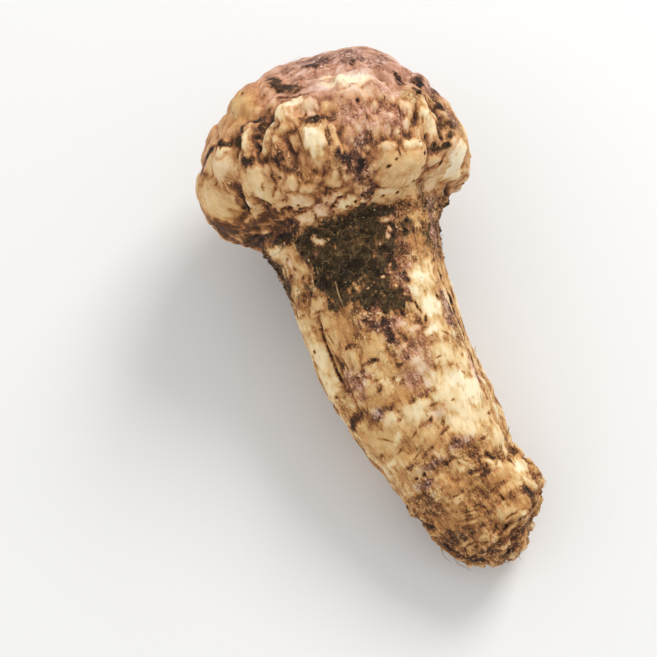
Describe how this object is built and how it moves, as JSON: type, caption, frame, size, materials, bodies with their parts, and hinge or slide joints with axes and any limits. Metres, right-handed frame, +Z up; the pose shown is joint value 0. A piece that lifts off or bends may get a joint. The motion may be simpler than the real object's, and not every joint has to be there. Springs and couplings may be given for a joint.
{
  "type": "matsutake mushroom",
  "caption": "Whole picked matsutake with a closed domed cap, soiled neck and thick tapering stem, lying on its side.",
  "frame": {"origin": "on the surface the mushroom lies on, below the middle of its bounding box", "axes": "+Y from the root end towards the cap, +Z up, +X to the side that the stem's bow opens to"},
  "size_m": [0.0724, 0.1392, 0.0709],
  "materials": {
    "skin": "dry matt mushroom skin, cream flesh under tan, red-brown and dark brown fibrous scales",
    "soil": "dark crumbly soil and sand grains stuck to the skin",
    "fibre": "dry pale threads and rootlets"
  },
  "bodies": {
    "root": {"mushroom": "skin"}
  },
  "joints": []
}
